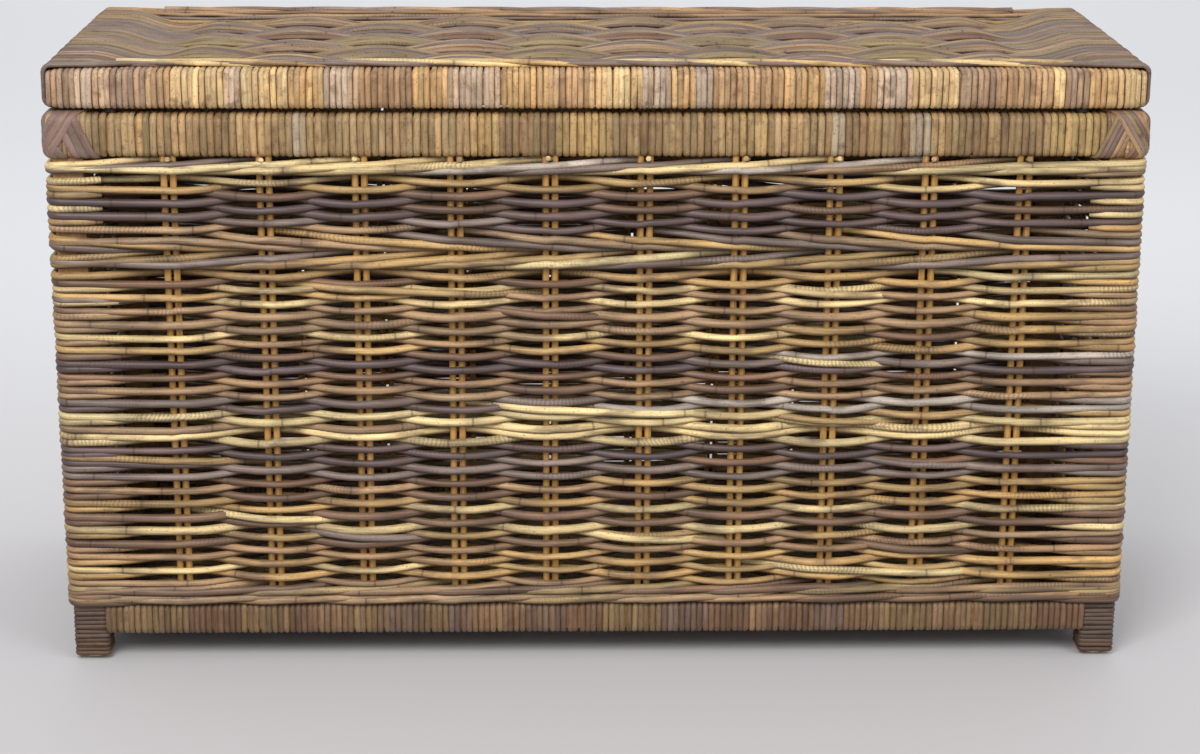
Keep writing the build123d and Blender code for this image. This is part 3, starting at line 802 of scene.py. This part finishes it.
dice = random.Random(waleLook["seed"])
for name, (node, lines, names) in waleBands.items():
    low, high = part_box(node)
    rods = waleRods(low.z, high.z, lines, names, dice)
    if name == "lowerWale":
        # a straight rod inside closes the joint over the base rail
        for level in (low.z + 1 * mm, low.z + 7 * mm):
            points, travels = wallPath([-wall["into"]] * pairCount, [[level] * 2] * pairCount, straight)
            part = cutPath(points, travels, pairTravel[1], pairTravel[1] + wallLength)
            rods.append((part, waleLook["thickness"], pickColour(("umber",), dice)))
    finishPiece(bendRods(name, rods, waleLook, wallCane), "trunk", "kubu_rattan", node)

# the cut ends of the stakes, under the rim
stubLook = {
    "seed": 29,
    "sides": 8,
    "unevenness": 0.1,
    "thickness": 4.8 * mm,
    "length": 8 * mm,
    "below": 0.5 * mm,
    "sunk": 2.5 * mm,
}
stubs = []
dice = random.Random(stubLook["seed"])
for side in wallSides:
    for place in side["pairs"]:
        along = side["run"] * (place + dice.uniform(-5, 5) * mm)
        tip = side["start"] + along - side["out"] * (wall["stakeInset"] - wall["out"] - stubLook["sunk"])
        tip.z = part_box("rim_wrap_front")[0].z - stubLook["below"] + dice.uniform(-1, 1) * mm
        back = side["run"] * dice.uniform(-0.4, 0.4) - side["out"] - Vector((0, 0, 0.3))
        line = [tip + back * stubLook["length"], tip]
        stubs.append((line, stubLook["thickness"], pickColour(("honey", "straw"), dice)))
finishPiece(bendRods("stakeEnds", stubs, stubLook, wallCane), "trunk", "stake_rattan")
print("wales woven")


# cane wound round the rails and feet: how a turn is set for a rail along each axis
turnToRail = {
    "x": Matrix(((0, 0, 1), (1, 0, 0), (0, 1, 0))),
    "y": Matrix(((1, 0, 0), (0, 0, -1), (0, 1, 0))),
    "z": Matrix.Identity(3),
}


def groupColours(count, look, dice):
    # neighbouring turns come from the same length of cane, so colours come in groups, near the main colour
    main = linear(caneColours[look["main"]])
    colours = []
    while len(colours) < count:
        other = linear(caneColours[dice.choice(look["groups"])])
        for _ in range(dice.randint(2, 9)):
            share = dice.uniform(0.25, 0.65)
            light = look["light"] * (1 + dice.uniform(-0.22, 0.22))
            warm = dice.uniform(-0.05, 0.05)
            mixed = [light * (a + (b - a) * share) for a, b in zip(main, other)]
            colours.append((mixed[0] * (1 + warm), mixed[1], mixed[2] * (1 - warm), 1.0))
    return colours[:count]


def turnsAlong(node, axis, look, dice):
    # turns from end to end of a node, and past its ends where the look says so
    low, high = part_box(node)
    index = "xyz".index(axis)
    middle = (low + high) / 2
    start, stop = low[index] - look["past"], high[index] + look["past"]
    count = round((stop - start) / look["pitch"])
    colours = groupColours(count, look, dice)
    turns = []
    for i in range(count):
        place = middle.copy()
        place[index] = start + (i + 0.5 + dice.uniform(-0.12, 0.12)) * (stop - start) / count
        nearEnd = min(i, count - 1 - i)
        size = 1 + dice.uniform(-0.010, 0.012) - look["endTaper"] * max(0, 2 - nearEnd)
        tilt = Euler((dice.uniform(-1, 1) * look["tilt"], dice.uniform(-1, 1) * look["tilt"], 0))
        turning = (turnToRail[axis] @ tilt.to_matrix()).to_euler()
        turns.append((place, turning, size, colours[i]))
    return turns


def outline(node, across="y", height="z"):
    low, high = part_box(node)
    size = high - low
    return {"across": getattr(size, across), "height": getattr(size, height)}


rimLook = {
    **outline("rim_wrap_front"),
    "seed": 31,
    "corner": 8 * mm,
    "cane": 3.4 * mm,
    "pitch": 6.4 * mm,
    "spread": 1.03,
    "tilt": 0.022,
    "endTaper": 0.0,
    "past": 28 * mm,
    "main": "olive",
    "light": 1.25,
    "groups": ("tan", "honey", "tan", "silver", "umber", "honey", "tan"),
}
lidRailLook = {
    **rimLook, **outline("lid_wrap_front"), "seed": 37, "pitch": 5.3 * mm, "endTaper": 0.05, "past": 0.0,
    "main": "tan", "light": 1.4,
    "groups": ("tan", "silver", "honey", "silver", "straw", "umber", "tan", "slate", "silver")}
baseLook = {
    **rimLook, **outline("base_wrap_front"), "seed": 41, "pitch": 5.6 * mm, "past": 0.0,
    "main": "umber", "light": 0.9, "groups": ("umber", "olive", "tan", "slate")}
footLook = {
    **rimLook, **outline("foot_wrap_front_left", "x", "y"), "seed": 43, "corner": 5 * mm, "pitch": 4.4 * mm,
    "past": 0.0, "main": "umber", "light": 0.55, "groups": ("umber", "slate")}
feet = [f"foot_wrap_{end}_{hand}" for end in ("front", "back") for hand in ("left", "right")]
wound = (
    ("rimTurns", "trunk", [f"rim_wrap_{side}" for side in sides], rimLook, woundRails),
    ("baseTurns", "trunk", [f"base_wrap_{side}" for side in sides], baseLook, woundRails),
    ("lidRailTurns", "lid", ["lid_wrap_front", "lid_wrap_back"], lidRailLook, woundRails),
    ("footTurns", "trunk", feet, footLook, woundFeet),
)

dice = random.Random(47)
for name, body, nodes, look, material in wound:
    turns = []
    for node in nodes:
        axis = "z" if node in feet else "x" if node.endswith(("front", "back")) else "y"
        turns += turnsAlong(node, axis, look, dice)
    finishPiece(windTurns(name, turns, look, material), body, "wrapping_cane", *nodes)
print("rails and feet wound")


# crossed strips of peel round the rim's corners
bindingLook = {
    "seed": 67,
    "rounding": rimLook["corner"],
    "plan": 10 * mm,
    "step": 3 * mm,
    "upright": 4.3 * mm,
    "uprightLift": -0.6 * mm,
    "mitre": 14 * mm,
    "thickness": 1.3 * mm,
    "under": 0.8 * mm,
    "sink": 2.6 * mm,
    "reachUp": 38 * mm,
    "reachDown": 30 * mm,
    "higherFace": 0.35 * mm,
    # a set that falls away from the corner, then one that falls across its upright edge:
    # where its first strip is, which way the others follow, its slope and its lift
    "sets": ((14.5 * mm, 1, -0.46, 0.2 * mm), (17 * mm, -1, 0.62, 0.9 * mm)),
}
# at each corner: the width of its strips, how many there are in a set, and their colours
bindingCorners = {
    (-1, -1): (7.6 * mm, 3, ("peel", "peel", "slate")),
    (1, -1): (4.6 * mm, 5, ("tan", "umber", "olive", "peel", "tan")),
    (-1, 1): (5.8 * mm, 4, ("peel", "umber", "tan")),
    (1, 1): (7.6 * mm, 3, ("peel", "peel", "umber")),
}
railLow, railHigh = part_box("rim_wrap_front")
rimMiddle = (railLow.z + railHigh.z) / 2
rimHalf = (railHigh.z - railLow.z) / 2
rimCorner = Vector((cadBox[1].x - 0.5 * mm - bindingLook["plan"], -railLow.y - bindingLook["plan"], 0))
cornerArc = bindingLook["plan"] * math.pi / 4


def cornerSpot(hand, s, v, lift):
    # a spot on the rim's corner: s runs round it from its upright edge, v up its outline from a face's middle
    rounding = bindingLook["rounding"]
    flat = rimHalf - rounding
    beyond = max(0.0, abs(v) - flat)
    lean = min(beyond / rounding, math.pi / 2)
    if hand[1] > 0 and v > 0 and s > -cornerArc:
        # the strips sink in at the back's upper edge, where the open lid comes close
        lift -= bindingLook["sink"] * min(1.0, lean / 0.5)
    inward = rounding * (1 - math.cos(lean)) + max(0.0, beyond - rounding * math.pi / 2)
    up = math.copysign(min(abs(v), flat) + (rounding + lift) * math.sin(lean), v)
    reach = bindingLook["plan"] - inward + lift * math.cos(lean)
    if abs(s) <= cornerArc:
        angle = math.pi / 4 + s / bindingLook["plan"]
        reach = max(reach, 0.3 * mm)
        x, y = reach * math.cos(angle), reach * math.sin(angle)
    else:
        x, y = (cornerArc - s, reach) if s > 0 else (reach, cornerArc + s)
    return Vector((hand[0] * (rimCorner.x + x), hand[1] * (rimCorner.y + y), rimMiddle + up))


def addStrip(sheet, hand, ends, width, lift, colour):
    # one flat strip with a slightly round back, between two places on the corner's unrolled surface
    (s0, v0), (s1, v1) = ends
    length = math.hypot(s1 - s0, v1 - v0)
    sideways = ((v1 - v0) / length, (s0 - s1) / length)
    shares = (-1, -0.8, -0.3, 0.3, 0.8, 1)
    profile = [(share, lift + bindingLook["thickness"] * (1 - share ** 4)) for share in shares]
    profile += [(1, lift - bindingLook["under"]), (-1, lift - bindingLook["under"])]
    count = max(2, round(length / bindingLook["step"]))
    mark = sheet["dice"].random()
    first = len(sheet["places"])
    for i in range(count + 1):
        s, v = s0 + (s1 - s0) * i / count, v0 + (v1 - v0) * i / count
        for share, rise in profile:
            shift = share * width / 2
            sheet["places"].append(cornerSpot(hand, s + sideways[0] * shift, v + sideways[1] * shift, rise))
            sheet["along"].append(length * i / count)
            sheet["wide"].append(shift)
    wide = len(profile)
    faces = [[first + k for k in range(wide)], [first + count * wide + k for k in reversed(range(wide))]]
    for i in range(count):
        for k in range(wide):
            a, b = first + i * wide + k, first + i * wide + (k + 1) % wide
            faces.append((b, a, a + wide, b + wide))
    sheet["faces"] += faces
    added = len(sheet["places"]) - first
    sheet["marks"] += [mark] * added
    sheet["colours"] += [colour] * added


def bindCorner(sheet, hand, width, count, names):
    dice = sheet["dice"]
    edge = rimHalf - bindingLook["rounding"] + bindingLook["rounding"] * math.pi / 2
    upright = bindingLook["upright"]
    turns = int((rimLook["across"] + cornerArc) / upright)
    for i in range(-turns, turns + 1):
        s = i * upright
        # the upright strips stop at the mitre, on the top and underneath
        top = edge + max(0.0, bindingLook["plan"] + abs(s) - cornerArc - bindingLook["rounding"])
        top = min(top, edge + bindingLook["mitre"])
        colour = pickColour(("tan", "olive", "umber", "tan"), dice, 0.18)
        addStrip(sheet, hand, ((s, -top), (s, top)), upright * 0.97, bindingLook["uprightLift"], colour)
    high, low = bindingLook["reachUp"], -bindingLook["reachDown"]
    for face in (1, -1):
        for start, step, slope, lift in bindingLook["sets"]:
            for i in range(count):
                s = start + step * (i + 0.5) * width
                ends = ((face * (s + slope * high), high), (face * (s + slope * low), low))
                rise = lift + (bindingLook["higherFace"] if face > 0 else 0.0)
                addStrip(sheet, hand, ends, width * 0.96, rise, pickColour(names, dice, 0.15))


sheet = {key: [] for key in ("places", "faces", "along", "wide", "marks", "colours")}
sheet["dice"] = random.Random(bindingLook["seed"])
for hand, (width, count, names) in bindingCorners.items():
    bindCorner(sheet, hand, width, count, names)
mesh = bpy.data.meshes.new("cornerStrips")
mesh.from_pydata(sheet["places"], [], sheet["faces"])
addAttributes(mesh, along=sheet["along"], wide=sheet["wide"], rod=sheet["marks"], cane=sheet["colours"])
mesh.materials.append(peelCane)
fixer = bmesh.new()
fixer.from_mesh(mesh)
bmesh.ops.recalc_face_normals(fixer, faces=fixer.faces)
fixer.to_mesh(mesh)
fixer.free()
mesh.shade_smooth()
finishPiece(link("cornerStrips", mesh), "trunk", "binding_peel", "rim_corner_bindings")
print("corners bound")


# the lid: flat bundles over and under the bars
lidEnds = span("lid_wrap_left", "lid_wrap_right")
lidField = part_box("lid_weave")
lidLook = {
    "seed": 53,
    "bundles": 8,
    "strands": 12,
    "thickness": 4.2 * mm,
    "sides": 6,
    "unevenness": 0.2,
    "bars": 10,
    "wideOver": 1.42,
    "wideUnder": 0.86,
    "edgeStrands": 16,
    "overRail": 9 * mm,
    "edgeSlope": 0.8,
    "stagger": 0.7 * mm,
    "bend": 6.5 * mm,
    "tuck": 6 * mm,
    "light": 0.73,
    "crown": 4.0 * mm,
    "wander": 1.3 * mm,
    "dip": 0.6,
    "spread": 0.14,
    "groups": ("tan", "olive", "tan", "slate", "honey", "umber", "tan", "slate"),
}


def barRow(box, look):
    # the bars' middle height, how far a strand lies above or below it, the bars' spacing and their places
    low, high = box
    half = (high.z - low.z) / 2
    step = (high.x - low.x - 2 * half) / (look["bars"] - 1)
    places = [(i - (look["bars"] - 1) / 2) * step for i in range(look["bars"])]
    return (high.z + low.z) / 2, half + look["thickness"] / 2, step, places


barMiddle, barRise, barStep, barPlaces = barRow(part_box("lid_bars"), lidLook)
bundleWidth = (lidField[1].y - lidField[0].y) / lidLook["bundles"]
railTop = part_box("lid_wrap_front")[1].z


def lidStrand(bundle, share, dice):
    # share is the strand's place in its bundle, from -1 to 1
    # it runs from under the left end rail, over it, along the lid and round the right end rail
    half = lidLook["thickness"] / 2
    outer, inner = lidEnds[1].x - half, lidField[1].x
    top, bottom = lidEnds[1].z - half, lidEnds[0].z + half
    bend = lidLook["bend"]
    middle = lidField[0].y + (bundle + 0.5) * bundleWidth
    # the outer sides of the first and last bundle lie on the long rails
    atRail = (bundle == 0 and share < 0) or (bundle == lidLook["bundles"] - 1 and share > 0)
    width = bundleWidth / 2 + (lidLook["overRail"] if atRail else 0.0)
    fan = (lidEnds[1].y - half - 1 * mm) / (lidField[1].y + lidLook["overRail"])
    valley = barPlaces[-1] + barStep / 2
    cusp = barMiddle - barRise * lidLook["dip"]
    stagger = dice.uniform(-1, 1) * lidLook["stagger"]
    keys = [(-inner, top, 1.0), (-valley, cusp, 1.0)]
    for i, place in enumerate(barPlaces):
        if (i + bundle) % 2 == 0:
            lift = barRise + lidLook["crown"] * (0.2 - share * share) + dice.uniform(-0.2, 0.9) * mm
            widen = lidLook["wideOver"]
        else:
            lift = -barRise - dice.uniform(-0.6, 1.2) * mm
            widen = lidLook["wideUnder"]
        keys.append((place, barMiddle + lift, 1.0 if atRail else widen))
    keys += [(valley, cusp, 1.0), (inner, top, 1.0)]
    field = []
    for (x0, z0, w0), (x1, z1, w1) in zip(keys, keys[1:]):
        sway = dice.uniform(-1, 1) * lidLook["wander"]
        for i in range(7):
            t = i / 7
            y = middle + share * width * ease(w0, w1, t) + sway * math.sin(math.pi * t)
            field.append((x0 + (x1 - x0) * t, y, ease(z0, z1, t)))
    flatY = middle + share * width
    field.append((inner, flatY, top))
    endTurn = []
    for cx, cz, start in ((outer - bend, top - bend, 90), (outer - bend, bottom + bend, 0)):
        for i in range(5):
            angle = math.radians(start - 90 * i / 4)
            endTurn.append((cx + bend * math.cos(angle), flatY, cz + bend * math.sin(angle)))
    endTurn.append((inner + lidLook["tuck"], flatY, bottom))
    points = []
    for x, y, z in [(-x, y, z) for x, y, z in reversed(endTurn)] + field + endTurn:
        reach = min(1.0, max(0.0, (abs(x) - valley) / (outer - valley - bend)))
        if abs(x) < inner:
            z = max(z, railTop + half - max(0.0, lidField[1].y - abs(y)) * lidLook["edgeSlope"])
        points.append(Vector((x, y * ease(1, fan, reach), z + stagger)))
    return points


dice = random.Random(lidLook["seed"])
strands = []
for bundle in range(lidLook["bundles"]):
    name = dice.choice(lidLook["groups"])
    count = lidLook["edgeStrands"] if bundle in (0, lidLook["bundles"] - 1) else lidLook["strands"]
    for strand in range(count):
        if dice.random() < 0.55:
            name = dice.choice(lidLook["groups"])
        share = (strand + 0.5) / count * 2 - 1
        thick = lidLook["thickness"] * dice.uniform(0.88, 1.12)
        colour = [lidLook["light"] * part for part in pickColour((name,), dice, lidLook["spread"])]
        strands.append((lidStrand(bundle, share, dice), thick, colour))
piece = bendRods("lidBundles", strands, lidLook, lidCane)
finishPiece(piece, "lid", "lid_rattan", "lid_weave", "lid_wrap_left", "lid_wrap_right")

# the twisted cord along each long edge
ropeLow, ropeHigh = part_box("lid_edge_cords")
ropeLook = {
    "seed": 59,
    "sides": 8,
    "unevenness": 0.12,
    "thickness": 4.8 * mm,
    "turn": 240 * mm,
    "wide": 2.9 * mm,
    "high": 1.7 * mm,
    "step": 8 * mm,
    "inside": 5 * mm,
    "above": 2.8 * mm,
    "names": {-1: ("straw", "slate", "honey"), 1: ("tan", "slate", "umber")},
}


def ropeStrands(dice):
    rods = []
    for side, names in ropeLook["names"].items():
        middle = side * (ropeHigh.y - ropeLook["inside"])
        for strand, name in enumerate(names):
            points = []
            for i in range(round((ropeHigh.x - ropeLow.x) / ropeLook["step"]) + 1):
                x = ropeLow.x + i * ropeLook["step"]
                angle = 2 * math.pi * (x / ropeLook["turn"] + strand / 3)
                y = middle + ropeLook["wide"] * math.cos(angle)
                z = ropeLow.z + ropeLook["above"] + ropeLook["high"] * math.sin(angle)
                points.append(Vector((x, y, z)))
            rods.append((points, ropeLook["thickness"], pickColour((name,), dice)))
    return rods


rods = ropeStrands(random.Random(ropeLook["seed"]))
finishPiece(bendRods("lidEdgeRopes", rods, ropeLook, lidCane), "lid", "lid_rattan", "lid_edge_cords")
print("lid woven:", len(strands), "strands")


baseLow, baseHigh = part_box("base_weave")
baseWeaveLook = {
    "seed": 61,
    "sides": 6,
    "unevenness": 0.15,
    "thickness": 6.2 * mm,
    "pitch": 6.4 * mm,
    "bars": 10,
    "names": ("tan", "olive", "honey", "umber", "slate"),
}


def baseRods(dice):
    rods = []
    middle, rise, _, places = barRow(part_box("base_bars"), baseWeaveLook)
    count = int((baseHigh.y - baseLow.y) / baseWeaveLook["pitch"])
    for row in range(count):
        y = (row - (count - 1) / 2) * baseWeaveLook["pitch"]
        keys = [(baseLow.x + 1 * mm, middle)]
        keys += [(place, middle + rise * (1 if (i + row) % 2 else -1)) for i, place in enumerate(places)]
        keys.append((baseHigh.x - 1 * mm, middle))
        points = []
        for (x0, z0), (x1, z1) in zip(keys, keys[1:]):
            for i in range(7):
                points.append(Vector((x0 + (x1 - x0) * i / 7, y, ease(z0, z1, i / 7))))
        points.append(Vector((keys[-1][0], y, middle)))
        thick = baseWeaveLook["thickness"] * dice.uniform(0.92, 1.06)
        rods.append((points, thick, pickColour(baseWeaveLook["names"], dice)))
    return rods


rods = baseRods(random.Random(baseWeaveLook["seed"]))
finishPiece(bendRods("baseRows", rods, baseWeaveLook, wallCane), "trunk", "kubu_rattan", "base_weave")
print("base woven")


# finishes of the nodes that stay, by the start of the name
finishes = {
    "post_": woods["post"],
    "base_dowels": woods["post"],
    "rim_dowels": woods["post"],
    "lid_dowels": woods["post"],
    "stakes_": woods["stake"],
    "lid_bars": woods["lidBar"],
    "base_bars": woods["bar"],
    "rim_hinge_screws": screwBrass,
    "lid_hinge_screws": screwBrass,
    "hinge_": hingeSteel,
    "glides": glidePlastic,
    "lid_bumpers": bumperRubber,
}
for rail in ("base", "rim", "lid"):
    for side in sides:
        finishes[f"{rail}_rail_{side}"] = woods["longRail" if side in ("front", "back") else "endRail"]
for node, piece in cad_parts.items():
    for start, finish in finishes.items():
        if node.startswith(start):
            piece.data.materials.clear()
            piece.data.materials.append(finish)
print("frame finished")


floorMaterial, graph, shader = startMaterial("paleFloor", Roughness=0.7)
place = graph.place()
mottle = graph.noise(place, 3.0, 3.0)
# painted shade: the floor's colour is darker towards the front and lighter towards the back, in place of the
# light's fall-off
farAway = graph.add("ShaderNodeSeparateXYZ", {}, {0: place}, 1).between(-1.6, 2.0)
paintedFloorShade = graph.ramp(farAway, [(0.0, (0.66, 0.64, 0.64)), (1.0, (0.93, 0.93, 0.94))])
floorColour = graph.mix(mottle * 0.06, paintedFloorShade, (0.6, 0.6, 0.6, 1.0))
feed(graph, shader, Base_Color=floorColour)
floorMesh = bpy.data.meshes.new("floor")
floorMesh.from_pydata([(-9, -9, 0), (9, -9, 0), (9, 9, 0), (-9, 9, 0)], [], [(0, 1, 2, 3)])
floorMesh.materials.append(floorMaterial)
link("floor", floorMesh)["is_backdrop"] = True

bpy.context.scene.view_settings.view_transform = "Standard"
world = bpy.data.worlds.new("softRoom")
bpy.context.scene.world = world
world.use_nodes = True
sky = world.node_tree.nodes["Background"].inputs
sky["Color"].default_value = (0.95, 0.97, 1.0, 1.0)
sky["Strength"].default_value = 0.62

lamps = {
    "key": {"place": (-0.9, -2.3, 2.3), "aim": (0, 0, 0.3), "size": 1.5, "power": 68.0},
    "fill": {"place": (1.8, -2.0, 1.8), "aim": (0, 0, 0.3), "size": 1.6, "power": 26.0},
    "top": {"place": (0.2, 0.6, 2.8), "aim": (0, 0, 0.3), "size": 2.0, "power": 13.0},
    "back": {"place": (0, 6.0, 3.5), "aim": (0, 6.0, 0), "size": 5.0, "power": 60.0},
}
for name, lamp in lamps.items():
    light = bpy.data.lights.new(name, "AREA")
    light.energy = lamp["power"]
    light.size = lamp["size"]
    lampObject = link(name, light)
    lampObject.location = lamp["place"]
    aim = Vector(lamp["aim"]) - Vector(lamp["place"])
    lampObject.rotation_euler = aim.to_track_quat("-Z", "Y").to_euler()

camera = {
    "place": (-0.048, -2.554, 0.971),
    "down": 16.24,
    "towardsRight": 1.22,
    "roll": 0.23,
    "lens": 80.0,
}
cameraData = bpy.data.cameras.new("camera")
cameraData.lens = camera["lens"]
cameraData.sensor_width = 36.0
cameraObject = link("camera", cameraData)
turned = Matrix.Rotation(math.radians(-camera["towardsRight"]), 4, "Z")
tipped = Matrix.Rotation(math.radians(90 - camera["down"]), 4, "X")
rolled = Matrix.Rotation(math.radians(camera["roll"]), 4, "Z")
cameraObject.matrix_world = Matrix.Translation(camera["place"]) @ turned @ tipped @ rolled
bpy.context.scene.camera = cameraObject
print("camera and lights set")

low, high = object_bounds()
